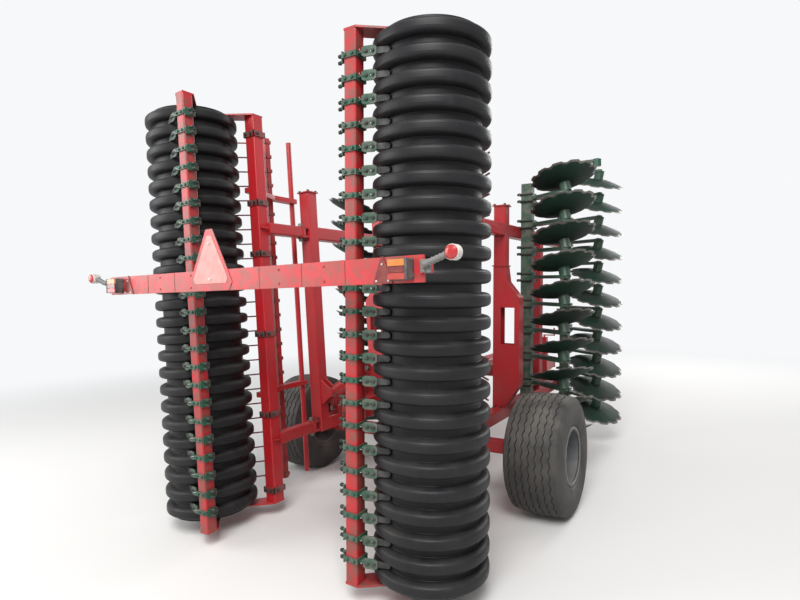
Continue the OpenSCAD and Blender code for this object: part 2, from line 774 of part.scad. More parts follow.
// Bar with the spring tines, and its two arms from the roller beam
module tine_bar_set(side) {
    clamp = roller_beam / 2;
    under = roller_beam_z - roller_beam / 2;
    arm_low = tine_bar_z + tine_bar / 2;
    arm_top = arm_low + 70;
    bar_low = tine_bar_z - tine_bar / 2;
    cheek_t = 6;
    color(red) folded(side) {
        // A cheek beside each coil and a bolt through it
        for (k = [0 : ring_count - 1]) {
            x = wing_in + (k + 0.5) * ring_pitch + coil_w / 2;
            plate_x(x, cheek_t) translate([tine_bar_y - 18, bar_low - 48]) square([36, 51]);
            round_x(x - coil_w - 8, x + cheek_t + 8, tine_bar_y, bar_low - coil_r, 10);
        }
        tube_x(wing_in + 30, wing_out - 30, tine_bar_y, tine_bar_z, tine_bar, tine_bar, 5, small_corner);
        round_x(wing_in + 30, wing_out - 30, guard_y, arm_low + 30, guard_r);
        for (x = tine_arm_xs)
            plate_x(x - tine_arm_w / 2, tine_arm_w) polygon([
                [roller_beam_y - clamp, under], [roller_beam_y + clamp, under], [tine_bar_y - 20, arm_top],
                [guard_y + 25, arm_top], [guard_y + 25, arm_low], [tine_bar_y - 25, arm_low],
                [roller_beam_y + clamp, under - 60], [roller_beam_y - clamp, under - 40]
            ]);
    }
}

// Spring tines: a wound coil under the bar and a leg for each groove
module tines(side) {
    wire = 2 * wire_r;
    color(dark_steel) folded(side) for (k = [0 : ring_count - 1])
        translate([wing_in + (k + 0.5) * ring_pitch, tine_bar_y, tine_bar_z - tine_bar / 2 - coil_r]) {
            rotate([0, 90, 0]) translate([0, 0, -coil_w / 2])
                rotate_extrude() polygon(concat(
                    [[coil_r - wire, 0], [coil_r, 0]],
                    [for (i = [1 : coil_turns - 1], d = [-1, 0, 1])
                        [coil_r - (d == 0 ? wire_r / 2 : 0), i * wire + d * wire_r / 2]],
                    [[coil_r, coil_w], [coil_r - wire, coil_w]]
                ));
            translate([0, -coil_r + wire_r, 0]) rotate([tine_lean, 0, 0]) cylinder(h = tine_leg, r = wire_r);
        }
}

// The two green beams that carry the disc rows
module disc_beams(side) {
    color(green) folded(side) {
        tube_x(wing_in, rear_beam_end, disc_rear_y, disc_beam_z, disc_beam, disc_beam);
        tube_x(wing_in, front_beam_end, disc_front_y, disc_beam_z, disc_beam, disc_beam);
    }
}

// Where a disc's rim is along its row, and how many a row has
function rim_x(row, k) = (row == 0 ? rear_first : front_first) + k * disc_pitch;
function row_last(row) = row == 0 ? disc_count - 2 : disc_count - 1;
function row_y(row) = row == 0 ? disc_rear_y : disc_front_y;

// Places a disc's axis: the dish opens along +Z, its rim's middle is at the row's place
module disc_place(row, k) {
    translate([rim_x(row, k), row_y(row) - disc_trail, disc_z])
        rotate([0, 0, row == 0 ? disc_toe : 180 - disc_toe])
            rotate([0, 90 - disc_tilt, 0]) translate([0, 0, -disc_dish])
                children();
}

// One scalloped disc: a flat middle and a dished rim, opening along +Z from its middle
module disc() {
    difference() {
        rotate_extrude($fn = 96) polygon([
            [0, 0], [disc_flat_r, 0], [disc_r, disc_dish], [disc_r, disc_dish - disc_t - 1],
            [disc_flat_r, -disc_t], [0, -disc_t]
        ]);
        for (i = [0 : scallops - 1])
            rotate(i * 360 / scallops) translate([disc_r + scallop_out, 0, 0])
                rotate(30) cylinder(h = 2 * disc_dish, r = scallop_r, $fn = 6);
    }
}

// All discs of a wing
module discs(side) {
    color(dark_steel) folded(side) for (row = [0, 1], k = [0 : row_last(row)]) disc_place(row, k) disc();
}

// Arms of the discs with their clamps and hub housings
module disc_arms(side) {
    low = disc_beam_z - disc_beam / 2;
    out = disc_beam / 2 + clamp_t;
    hub_z = disc_z - hub_drop;
    color(green) folded(side) for (row = [0, 1], k = [0 : row_last(row)]) {
        y = row_y(row);
        hub_y = y - disc_trail - hub_back;
        arm_x = rim_x(row, k) + (row == 0 ? -hub_reach : hub_reach);
        disc_place(row, k) translate([0, 0, -disc_t - hub_len]) cylinder(h = hub_len, r = hub_r);
        plate_x(arm_x - disc_arm_t / 2, disc_arm_t) polygon([
            [y - 60, low - 2 * clamp_t + 2], [y + 55, low - 2 * clamp_t + 2], [y + 42, low - 65],
            [hub_y + 120, low - 235], [hub_y + 52, hub_z + 17], [hub_y + 38, hub_z - 30],
            [hub_y - 38, hub_z - 30], [hub_y - 50, hub_z + 17], [hub_y + 25, low - 215], [y - 66, low - 60]
        ]);
        translate([arm_x - clamp_half, y - out, low - 2 * clamp_t])
            cube([2 * clamp_half, 2 * out, 2 * clamp_t]);
        for (y0 = [y - out, y + out - clamp_t])
            translate([arm_x - clamp_half, y0, low - clamp_t])
                cube([2 * clamp_half, clamp_t, disc_beam - 5 + clamp_t]);
    }
}

// Rubber rings of the packer roller, with rounded shoulders
module roller_rings(side) {
    flank = (ring_pitch - crest_w - groove_floor) / 2;
    rise = groove_depth - 6;
    steps = 5;
    color(rubber_black) folded(side) translate([wing_in, 0, roller_z]) rotate([0, 90, 0])
        rotate_extrude($fn = 96) polygon(concat(
            [[drum_r, 0]],
            [for (k = [0 : ring_count - 1], p = concat(
                [[groove_r, 0], [groove_r, groove_floor / 2]],
                [for (i = [0 : steps]) [
                    roller_r - rise * (1 - sin(90 * i / steps)),
                    groove_floor / 2 + flank * (1 - cos(90 * i / steps))
                ]],
                [for (i = [steps : -1 : 0]) [
                    roller_r - rise * (1 - sin(90 * i / steps)),
                    ring_pitch - groove_floor / 2 - flank * (1 - cos(90 * i / steps))
                ]],
                [[groove_r, ring_pitch - groove_floor / 2]]
            )) [p[0], p[1] + k * ring_pitch]],
            [[groove_r, wing_len], [drum_r, wing_len]]
        ));
}

// Steel drum with its end discs and stub shafts
module roller_drum(side) {
    end_t = 15;
    color(bright_steel) folded(side) translate([wing_in, 0, roller_z]) rotate([0, 90, 0]) {
        difference() {
            cylinder(h = wing_len, r = drum_r);
            translate([0, 0, end_t]) cylinder(h = wing_len - 2 * end_t, r = drum_r - drum_wall);
        }
        translate([0, 0, -plate_gap - end_plate_t]) cylinder(h = plate_gap + end_plate_t, r = shaft_r);
        translate([0, 0, wing_len]) cylinder(h = plate_gap + end_plate_t, r = shaft_r);
    }
}

// Draws along +Z from the fold cylinder's anchor towards its lug, at rest
module fold_line(side) {
    on_side(side) translate([anchor_x, cross_rear_y, anchor_z]) rotate([0, 90 - fold_tilt, 0]) children();
}

// Cylinder barrel with its gland and its eye on the anchor's pin
module fold_barrel(side) {
    eye_w = lug_gap - 1;
    gland = 26;
    color(red) fold_line(side) difference() {
        union() {
            translate([0, 0, barrel_start]) cylinder(h = barrel_end - barrel_start - gland, r = barrel_r);
            translate([0, 0, barrel_end - gland - 1]) cylinder(h = gland + 1, r = barrel_r - 6);
            rotate([90, 0, 0]) translate([0, 0, -eye_w / 2]) cylinder(h = eye_w, r = fold_eye_r);
            translate([-30, -eye_w / 2, 0]) cube([60, eye_w, barrel_start + 5]);
        }
        translate([0, 0, barrel_start + barrel_bottom]) cylinder(h = barrel_end, r = rod_r + fold_slack);
        rotate([90, 0, 0]) translate([0, 0, -lug_gap]) cylinder(h = 2 * lug_gap, r = pin_r + fold_slack);
    }
}

// Cylinder rod with its eye
module fold_rod(side) {
    eye_w = lug_gap - 1;
    rod_start = barrel_start + barrel_bottom + 8;
    color(bright_steel) fold_line(side) difference() {
        union() {
            translate([0, 0, rod_start]) cylinder(h = fold_len - rod_start - fold_eye_r + 8, r = rod_r);
            translate([0, 0, fold_len]) rotate([90, 0, 0]) translate([0, 0, -eye_w / 2])
                cylinder(h = eye_w, r = fold_eye_r);
        }
        translate([0, 0, fold_len]) rotate([90, 0, 0]) translate([0, 0, -lug_gap])
            cylinder(h = 2 * lug_gap, r = pin_r);
    }
}

chassis_beam();
hinge_carriers();
cylinder_anchor();
axle_beam();
drawbar();
hitch_eye();
jack_tube();
jack_leg_foot();
light_mast();
light_boards();
tail_lamps();
side_reflectors();
marker_lamps();
slow_vehicle_plate();
tyre("right");  // tyre_right
rim("right");  // rim_right
tyre("left");  // tyre_left
rim("left");  // rim_left
wing_frame("right");  // wing_frame_right
wing_frame("left");  // wing_frame_left
roller_frame("right");  // roller_frame_right
roller_frame("left");  // roller_frame_left
scraper_beam_bar("right");  // scraper_beam_right
scraper_beam_bar("left");  // scraper_beam_left
scrapers("right");  // scrapers_right
scrapers("left");  // scrapers_left
scraper_tips("right");  // scraper_tips_right
scraper_tips("left");  // scraper_tips_left
tine_bar_set("right");  // tine_bar_right
tine_bar_set("left");  // tine_bar_left
tines("right");  // tines_right
tines("left");  // tines_left
disc_beams("right");  // disc_beams_right
disc_beams("left");  // disc_beams_left
disc_arms("right");  // disc_arms_right
disc_arms("left");  // disc_arms_left
discs("right");  // discs_right
discs("left");  // discs_left
roller_rings("right");  // roller_rings_right
roller_rings("left");  // roller_rings_left
roller_drum("right");  // roller_drum_right
roller_drum("left");  // roller_drum_left
fold_barrel("right");  // fold_barrel_right
fold_barrel("left");  // fold_barrel_left
fold_rod("right");  // fold_rod_right
fold_rod("left");  // fold_rod_left
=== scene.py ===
"""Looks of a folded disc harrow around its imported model. X across, Y forward, Z up."""

import json
import math
import random

import bpy
from mathutils import Matrix, Vector


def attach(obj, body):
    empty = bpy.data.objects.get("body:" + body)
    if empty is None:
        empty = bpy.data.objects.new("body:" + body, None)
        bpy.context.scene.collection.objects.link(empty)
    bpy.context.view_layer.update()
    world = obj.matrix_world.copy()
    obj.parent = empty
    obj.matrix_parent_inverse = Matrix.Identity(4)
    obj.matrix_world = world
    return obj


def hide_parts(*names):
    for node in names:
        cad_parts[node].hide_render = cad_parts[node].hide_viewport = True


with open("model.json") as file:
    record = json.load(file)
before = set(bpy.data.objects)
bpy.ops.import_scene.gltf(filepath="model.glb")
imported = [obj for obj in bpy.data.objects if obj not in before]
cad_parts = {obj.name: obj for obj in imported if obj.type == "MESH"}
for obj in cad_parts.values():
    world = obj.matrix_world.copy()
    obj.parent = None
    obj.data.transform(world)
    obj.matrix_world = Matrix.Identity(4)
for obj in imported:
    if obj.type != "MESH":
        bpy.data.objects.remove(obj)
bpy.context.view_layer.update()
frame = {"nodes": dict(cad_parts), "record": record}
SIDES = (("right", 1), ("left", -1))

# The camera stands behind the machine and to its right, as the photograph's did
CAMERA_PLACE = (2.4614, -5.0815, 1.7215)
CAMERA_HEADING = math.radians(32.80)
CAMERA_PITCH = math.radians(-0.83)
CAMERA_ROLL = math.radians(-1.71)
CAMERA_LENS = 23.573
SENSOR_WIDTH = 36

# Background, and the floor with the distances in m at which it passes into the background
BACKGROUND = (0.93, 0.94, 0.95, 1)
SKY_TINT, SKY_STRENGTH = (0.95, 0.97, 1.0, 1), 0.5
FLOOR_COLOUR, FLOOR_ROUGHNESS, FLOOR_HALF = (0.72, 0.71, 0.69, 1), 0.85, 60
FADE_FROM, FADE_TO = 4, 11
# Name, place, target, size in m and power of each soft light
LIGHTS = (
    ("key", (3.5, -8.0, 8.0), (0, -1, 1.2), 4.5, 1000),
    ("fill", (-6, -7, 4), (0, -2, 1.2), 5, 380),
    ("front", (2, 9, 6), (0, 0, 1.2), 5, 500),
)

# Noise of the worn surfaces: scale and detail of each, and the values between which it sets in
PATCH_SCALE, PATCH_DETAIL, PATCH_RANGE = 2.5, 6, (0.38, 0.66)
EDGE_RANGE, RAGGED_SCALE, RAGGED_DETAIL, RAGGED_RANGE = (0.54, 0.62), 16, 6, (0.4, 0.6)
CHIP_SCALE, CHIP_DETAIL, CHIP_ROUGH, CHIP_FROM, CHIP_TO = 34, 8, 0.72, 0.68, 0.70
DUST_SCALE, DUST_DETAIL, DUST_ROUGH, DUST_RANGE, DUST_BELOW = 5, 9, 0.66, (0.32, 0.74), 0.3
FACING_RANGE = (-0.2, 1.0)
RUN_STRETCH, RUN_SCALE, RUN_DETAIL, RUN_ROUGH, RUN_RANGE = (9, 9, 0.7), 1.6, 5, 0.6, (0.55, 0.8)
GLOSS_SCALE, GLOSS_DETAIL, GLOSS_SHARE, GLOSS_SPAN = 9, 5, 0.35, 0.4
COAT_ROUGHNESS, BUMP_DISTANCE, BUMP_DETAIL, BUMP_ROUGH, BEVEL_SAMPLES = 0.25, 0.002, 8, 0.7, 3

# Sizes of the model in mm; Y is counted from the rollers' axis, wing pieces lie as they work
MID_Y = 2508.5
HINGE_X, HINGE_Z = 605, 705
FOLD = math.radians(88)
WING_IN, PITCH, RINGS, ROLLER_R, DRUM_R = 30, 125, 24, 330, 210
GROOVE_R, CREST, FLOOR = 278, 34, 44
ROLLER_BEAM, ROLLER_BEAM_Y, ROLLER_BEAM_Z = 100, 325, 658
SCRAPER_BEAM, SCRAPER_BEAM_Y, SCRAPER_BEAM_Z = 80, -288, 651
SCRAPER_LOW, SCRAPER_LEAN, SCRAPER_GAP = math.radians(21), math.radians(16), 3
TINE_BAR, TINE_BAR_Y, TINE_BAR_Z, COIL_R = 50, 660, 430, 32
TUBE, FRAME_Z, ARMS_X = 110, 690, (500, 2160)
CROSS_Y = (870, 1935, 2930)
KNUCKLE_Y, KNUCKLE_HALF = CROSS_Y[0] - TUBE / 2 - 62, 30 + 16 + 8
END_CAPS = ((2510, CROSS_Y[0]), (2370, CROSS_Y[1]))
CLAMPS_X, CLAMP_HALF, CLAMP_T = (110, 700, 1330, 1960, 2360, 2900), 22, 9
END_PLATE_FACE = 3052
DISC_BEAM, DISC_BEAM_Z, DISC_Y = 100, 585, (2330, 3660)
DISC_R, DISC_T, DISH, DISC_PITCH, DISC_Z, TRAIL = 285, 6, 60, 250, 205, 170
TOE, TILT, HUB_LEN, HUB_R = math.radians(12), math.radians(14), 85, 48
DISC_COUNTS, FIRST_DISC, FRONT_BEAM_END = (10, 11), 225, 2943
HUB_END = DISH + DISC_T + HUB_LEN
FLAT_R, EDGE_BITE, DISC_BOLT_R, DISC_BOLTS = 88, 19, 48, 5
SCALLOPS, SCALLOP_STEPS = 12, 12
DISC_STEPS = SCALLOPS * SCALLOP_STEPS
DISC_SHARES = (0, 0.30, 0.315, 0.55, 0.78, 0.93, 1.0)
BRACKET_REACH, BRACKET_T = 132, 20
WHEEL_X, WHEEL_Y, TYRE_R, TYRE_W, RIM_R = 1210, 1400, 455, 425, 205
BAR_HALF, BAR_Z, BAR_H, BAR_Y = 1287, 1826, 125, -545
LAMP_IN, REFLECTOR_IN, MARKER_OUT, MARKER_UP = 105, 222, 165, 60
MARKER_ARM, MARKER_LEAN = 140, math.radians(72)
SEAMS_X, STUDS_X = (227, 546, 836), (380, 700, 1120)
PLATE_X, PLATE_UP = -190, 118
CARRIERS_Y, EAR_HALF, CARRIER_BOLT_X, CARRIER_BOLT_Z = (1080, 2690), 31 + 16 + 8, 125, 919.5
ANCHOR_X, ANCHOR_Y, ANCHOR_Z, ANCHOR_HALF = 55, 870, 1120, 49
DRAWBAR_BOLT_Y, DRAWBAR_BOLT_Z, HITCH_BOLT_Y, HITCH_BOLT_Z = 3900, 935, 5489.5, 560
BEAM_REAR, BEAM_FRONT = 550, 4010


def make_camera():
    """Camera at the photograph's place, turned by heading, pitch and roll."""
    data = bpy.data.cameras.new("camera")
    data.lens = CAMERA_LENS
    data.sensor_width = SENSOR_WIDTH
    data.clip_end = 200
    camera = bpy.data.objects.new("camera", data)
    bpy.context.scene.collection.objects.link(camera)
    turn = Matrix.Rotation(CAMERA_HEADING, 4, "Z")
    tip = Matrix.Rotation(math.radians(90) + CAMERA_PITCH, 4, "X")
    roll = Matrix.Rotation(CAMERA_ROLL, 4, "Z")
    camera.matrix_world = Matrix.Translation(CAMERA_PLACE) @ turn @ tip @ roll
    bpy.context.scene.camera = camera


def make_floor():
    """Pale floor that passes into the background far from the machine."""
    mesh = bpy.data.meshes.new("floor")
    corners = [(x * FLOOR_HALF, y * FLOOR_HALF, 0) for x, y in ((-1, -1), (1, -1), (1, 1), (-1, 1))]
    mesh.from_pydata(corners, [], [(0, 1, 2, 3)])
    floor = bpy.data.objects.new("floor", mesh)
    bpy.context.scene.collection.objects.link(floor)
    material = bpy.data.materials.new("floor")
    material.use_nodes = True
    shader = material.node_tree.nodes["Principled BSDF"]
    shader.inputs["Base Color"].default_value = FLOOR_COLOUR
    shader.inputs["Roughness"].default_value = FLOOR_ROUGHNESS
    nodes, links = material.node_tree.nodes, material.node_tree.links
    away = nodes.new("ShaderNodeVectorMath")
    away.operation = "LENGTH"
    links.new(nodes.new("ShaderNodeTexCoord").outputs["Object"], away.inputs[0])
    fade = nodes.new("ShaderNodeMapRange")
    fade.interpolation_type = "SMOOTHSTEP"
    fade.inputs["From Min"].default_value = FADE_FROM
    fade.inputs["From Max"].default_value = FADE_TO
    links.new(away.outputs["Value"], fade.inputs["Value"])
    haze = nodes.new("ShaderNodeEmission")
    haze.inputs["Color"].default_value = BACKGROUND
    mix = nodes.new("ShaderNodeMixShader")
    links.new(fade.outputs["Result"], mix.inputs[0])
    links.new(shader.outputs[0], mix.inputs[1])
    links.new(haze.outputs[0], mix.inputs[2])
    links.new(mix.outputs[0], nodes["Material Output"].inputs["Surface"])
    mesh.materials.append(material)


def area_light(name, place, target, size, power):
    data = bpy.data.lights.new(name, "AREA")
    data.size = size
    data.energy = power
    light = bpy.data.objects.new(name, data)
    light.location = place
    light.rotation_euler = (Vector(target) - Vector(place)).to_track_quat("-Z", "Y").to_euler()
    bpy.context.scene.collection.objects.link(light)


def make_light():
    """World light, a paler background for the camera, and the soft lights."""
    world = bpy.data.worlds.new("world")
    bpy.context.scene.world = world
    world.use_nodes = True
    nodes = world.node_tree.nodes
    links = world.node_tree.links
    background = nodes["Background"]
    background.inputs["Color"].default_value = SKY_TINT
    background.inputs["Strength"].default_value = SKY_STRENGTH
    seen = nodes.new("ShaderNodeBackground")
    seen.inputs["Color"].default_value = BACKGROUND
    seen.inputs["Strength"].default_value = 1
    paths = nodes.new("ShaderNodeLightPath")
    mix = nodes.new("ShaderNodeMixShader")
    links.new(paths.outputs["Is Camera Ray"], mix.inputs[0])
    links.new(background.outputs[0], mix.inputs[1])
    links.new(seen.outputs[0], mix.inputs[2])
    links.new(mix.outputs[0], nodes["World Output"].inputs["Surface"])
    for light in LIGHTS:
        area_light(*light)


class Material:
    """Node tree of one worn surface, built up socket by socket."""

    def __init__(self, name, colour, dark, worn, roughness=0.45, metal=0.0, dust=0.3, wear=0.03,
                 grain=60, bump=0.15, rounding=0.004, tone=(0.45, 0.42, 0.37), streak=0.0, coat=0.0,
                 shine=0.5):
        self.material = bpy.data.materials.new(name)
        self.material.use_nodes = True
        self.nodes = self.material.node_tree.nodes
        self.links = self.material.node_tree.links
        shader = self.nodes["Principled BSDF"]
        self.where = self.nodes.new("ShaderNodeTexCoord").outputs["Object"]
        geometry = self.nodes.new("ShaderNodeNewGeometry")
        base = self.mixed(self.ramp(self.noise(PATCH_SCALE, PATCH_DETAIL), *PATCH_RANGE), colour, dark)
        edge = self.ramp(geometry.outputs["Pointiness"], *EDGE_RANGE)
        chips = self.ramp(self.noise(CHIP_SCALE, CHIP_DETAIL, CHIP_ROUGH), CHIP_FROM - wear, CHIP_TO)
        ragged = self.ramp(self.noise(RAGGED_SCALE, RAGGED_DETAIL), *RAGGED_RANGE)
        ragged = self.calc("MULTIPLY", edge, ragged)
        bare = self.calc("MAXIMUM", ragged, chips)
        base = self.mixed(bare, base, worn)
        up = self.nodes.new("ShaderNodeSeparateXYZ")
        self.links.new(geometry.outputs["Normal"], up.inputs[0])
        facing = self.ramp(up.outputs["Z"], *FACING_RANGE)
        film = self.calc("MULTIPLY_ADD", facing, dust, dust * DUST_BELOW)
        film = self.calc("MULTIPLY", film,
                         self.ramp(self.noise(DUST_SCALE, DUST_DETAIL, DUST_ROUGH), *DUST_RANGE))
        if streak:
            stretched = self.nodes.new("ShaderNodeMapping")
            stretched.inputs["Scale"].default_value = RUN_STRETCH
            self.links.new(self.where, stretched.inputs["Vector"])
            runs = self.noise(RUN_SCALE, RUN_DETAIL, RUN_ROUGH, stretched.outputs["Vector"])
            runs = self.ramp(runs, *RUN_RANGE)
            film = self.calc("MAXIMUM", film, self.calc("MULTIPLY", runs, streak))
        base = self.mixed(film, base, tone)
        self.links.new(base, shader.inputs["Base Color"])
        gloss = self.nodes.new("ShaderNodeMapRange")
        gloss.inputs["To Min"].default_value = roughness
        gloss.inputs["To Max"].default_value = min(1.0, roughness + GLOSS_SPAN)
        smears = self.calc("MULTIPLY", self.noise(GLOSS_SCALE, GLOSS_DETAIL), GLOSS_SHARE)
        self.links.new(self.calc("MAXIMUM", film, smears), gloss.inputs["Value"])
        self.links.new(gloss.outputs["Result"], shader.inputs["Roughness"])
        shader.inputs["Metallic"].default_value = metal
        shader.inputs["Specular IOR Level"].default_value = shine
        if coat:
            shader.inputs["Coat Weight"].default_value = coat
            shader.inputs["Coat Roughness"].default_value = COAT_ROUGHNESS
        raised = self.nodes.new("ShaderNodeBump")
        raised.inputs["Strength"].default_value = bump
        raised.inputs["Distance"].default_value = BUMP_DISTANCE
        self.links.new(self.noise(grain, BUMP_DETAIL, BUMP_ROUGH), raised.inputs["Height"])
        if rounding:
            bevel = self.nodes.new("ShaderNodeBevel")
            bevel.samples = BEVEL_SAMPLES
            bevel.inputs["Radius"].default_value = rounding
            self.links.new(bevel.outputs["Normal"], raised.inputs["Normal"])
        self.links.new(raised.outputs["Normal"], shader.inputs["Normal"])

    def noise(self, scale, detail, rough=0.6, where=None):
        texture = self.nodes.new("ShaderNodeTexNoise")
        texture.inputs["Scale"].default_value = scale
        texture.inputs["Detail"].default_value = detail
        texture.inputs["Roughness"].default_value = rough
        self.links.new(where or self.where, texture.inputs["Vector"])
        return texture.outputs["Fac"]

    def ramp(self, value, low, high):
        """Stretches a value from low..high to 0..1."""
        stretch = self.nodes.new("ShaderNodeMapRange")
        stretch.inputs["From Min"].default_value = low
        stretch.inputs["From Max"].default_value = high
        self.links.new(value, stretch.inputs["Value"])
        return stretch.outputs["Result"]

    def calc(self, operation, *values):
        node = self.nodes.new("ShaderNodeMath")
        node.operation = operation
        node.use_clamp = True
        for i, value in enumerate(values):
            if isinstance(value, (int, float)):
                node.inputs[i].default_value = value
            else:
                self.links.new(value, node.inputs[i])
        return node.outputs[0]

    def mixed(self, factor, first, second):
        """Colour between two colours; each is a tuple or a socket."""
        mix = self.nodes.new("ShaderNodeMix")
        mix.data_type = "RGBA"
        self.links.new(factor, mix.inputs[0])
        for place, colour in ((6, first), (7, second)):
            if isinstance(colour, tuple):
                mix.inputs[place].default_value = (*colour, 1)
            else:
                self.links.new(colour, mix.inputs[place])
        return mix.outputs[2]


def worn(name, *colours, **look):
    return Material(name, *colours, **look).material


RED = worn("red_paint", (0.44, 0.009, 0.015), (0.34, 0.008, 0.012), (0.20, 0.045, 0.035),
           roughness=0.34, dust=0.09, streak=0.06, wear=0.015)
MATERIALS = {
    "red_paint": RED,
    "green_paint": worn("green_paint", (0.010, 0.072, 0.040), (0.007, 0.044, 0.025), (0.11, 0.11, 0.085),
                        roughness=0.38, dust=0.16, wear=0.05, streak=0.06),
    "bright_steel": worn("bright_steel", (0.5, 0.49, 0.46), (0.36, 0.34, 0.31), (0.25, 0.14, 0.07),
                         roughness=0.32, metal=0.8, dust=0.2),
    "dark_steel": worn("dark_steel", (0.035, 0.035, 0.037), (0.02, 0.02, 0.02), (0.16, 0.14, 0.12),
                       roughness=0.45, metal=0.3, dust=0.25),
    "disc_steel": worn("disc_steel", (0.010, 0.040, 0.026), (0.010, 0.015, 0.013), (0.085, 0.085, 0.075),
                       roughness=0.55, metal=0.0, dust=0.08, wear=0.06, rounding=0, shine=0.2),
    "roller_rubber": worn("roller_rubber", (0.011, 0.011, 0.013), (0.008, 0.008, 0.009),
                          (0.045, 0.045, 0.047), roughness=0.38, dust=0.06, wear=0.0, bump=0.12,
                          rounding=0, streak=0.03, shine=0.22),
    "tyre": worn("tyre", (0.032, 0.030, 0.028), (0.022, 0.020, 0.019), (0.075, 0.07, 0.065),
                 roughness=0.72, dust=0.28, wear=0.0, bump=0.3, rounding=0),
    "red_reflective": worn("red_reflective", (0.55, 0.02, 0.03), (0.42, 0.015, 0.02), (0.3, 0.05, 0.04),
                           roughness=0.3, dust=0.15, wear=0.0, grain=400),
    "lamp_plastic": worn("lamp_plastic", (0.03, 0.03, 0.03), (0.02, 0.02, 0.02), (0.1, 0.1, 0.1),
                         roughness=0.35, dust=0.15, wear=0.0, grain=200, bump=0.05),
}
BARE = worn("worn_rim", (0.20, 0.19, 0.175), (0.09, 0.085, 0.075), (0.30, 0.29, 0.27),
            roughness=0.38, metal=0.7, dust=0.15, rounding=0)
BOLT = worn("bolt_zinc", (0.30, 0.29, 0.27), (0.16, 0.15, 0.13), (0.12, 0.07, 0.04),
            roughness=0.38, metal=0.8, dust=0.2, rounding=0.001)
DARK_BOLT = worn("bolt_dark", (0.045, 0.045, 0.045), (0.02, 0.02, 0.02), (0.14, 0.10, 0.08),
                 roughness=0.45, metal=0.5, dust=0.2, rounding=0.001)
HUB = worn("hub_cap", (0.30, 0.36, 0.33), (0.20, 0.25, 0.22), (0.35, 0.34, 0.32),
           roughness=0.33, metal=0.5, dust=0.2, rounding=0.002)
WHITE = worn("pale_plastic", (0.62, 0.60, 0.55), (0.5, 0.48, 0.44), (0.4, 0.38, 0.33),
             roughness=0.5, dust=0.2, wear=0.0, rounding=0.001)
PINK = worn("pale_red_film", (0.62, 0.27, 0.24), (0.55, 0.22, 0.20), (0.5, 0.2, 0.18),
            roughness=0.35, dust=0.12, wear=0.0, rounding=0)
AMBER = worn("amber_lens", (0.62, 0.20, 0.02), (0.5, 0.15, 0.015), (0.5, 0.2, 0.05),
             roughness=0.18, dust=0.1, wear=0.0, grain=300, rounding=0.002, coat=0.5)
LENS = worn("red_lens", (0.42, 0.012, 0.012), (0.34, 0.01, 0.01), (0.4, 0.05, 0.03),
            roughness=0.18, dust=0.1, wear=0.0, grain=300, rounding=0.002, coat=0.5)
DARK_LENS = worn("dark_red_lens", (0.16, 0.008, 0.010), (0.12, 0.006, 0.008), (0.2, 0.03, 0.02),
                 roughness=0.2, dust=0.1, wear=0.0, grain=300, rounding=0.002, coat=0.5)
DARK_RED = worn("dark_red_paint", (0.23, 0.010, 0.014), (0.15, 0.008, 0.010), (0.12, 0.06, 0.05),
                roughness=0.4, dust=0.2, wear=0.03)
GREY_RUBBER = worn("grey_rubber", (0.17, 0.165, 0.16), (0.12, 0.115, 0.11), (0.2, 0.19, 0.18),
                   roughness=0.7, dust=0.2, wear=0.0, rounding=0.002)
RIM_GREY = worn("rim_paint", (0.11, 0.115, 0.12), (0.07, 0.07, 0.075), (0.14, 0.10, 0.08),
                roughness=0.4, metal=0.1, dust=0.3, wear=0.04)
TIP_BLACK = worn("tip_plastic", (0.010, 0.010, 0.011), (0.007, 0.007, 0.008), (0.05, 0.05, 0.048),
                 roughness=0.5, dust=0.06, wear=0.01)
REFLECTOR = worn("reflector_red", (0.17, 0.006, 0.010), (0.12, 0.005, 0.008), (0.2, 0.03, 0.02),
                 roughness=0.22, dust=0.1, wear=0.0, grain=500, rounding=0.001, coat=0.4)


def dress_nodes():
    """Gives every CAD node its slot's material, or its own."""
    own = {"scraper_tips_right": TIP_BLACK, "scraper_tips_left": TIP_BLACK, "side_reflectors": REFLECTOR,
           "tines_right": DARK_RED, "tines_left": DARK_RED, "rim_right": RIM_GREY, "rim_left": RIM_GREY,
           "marker_lamps": GREY_RUBBER, "slow_vehicle_plate": MATERIALS["red_reflective"]}
    for row in frame["record"]["subparts"]:
        node = frame["nodes"][row["node"]]
        node.data.materials.clear()
        node.data.materials.append(own.get(row["node"], MATERIALS[row["material_slot"]]))


def machine(side=1):
    """From mm on the machine, Y from the rollers' axis, to the scene."""
    return Matrix.Diagonal((side / 1000, 1 / 1000, 1 / 1000, 1)) @ Matrix.Translation((0, -MID_Y, 0))


def folded(side):
    """From a wing piece's place at work to the scene, folded."""
    hinge = Vector((HINGE_X, 0, HINGE_Z))
    turn = Matrix.Rotation(-FOLD, 4, "Y")
    return machine(side) @ Matrix.Translation(hinge) @ turn @ Matrix.Translation(-hinge)


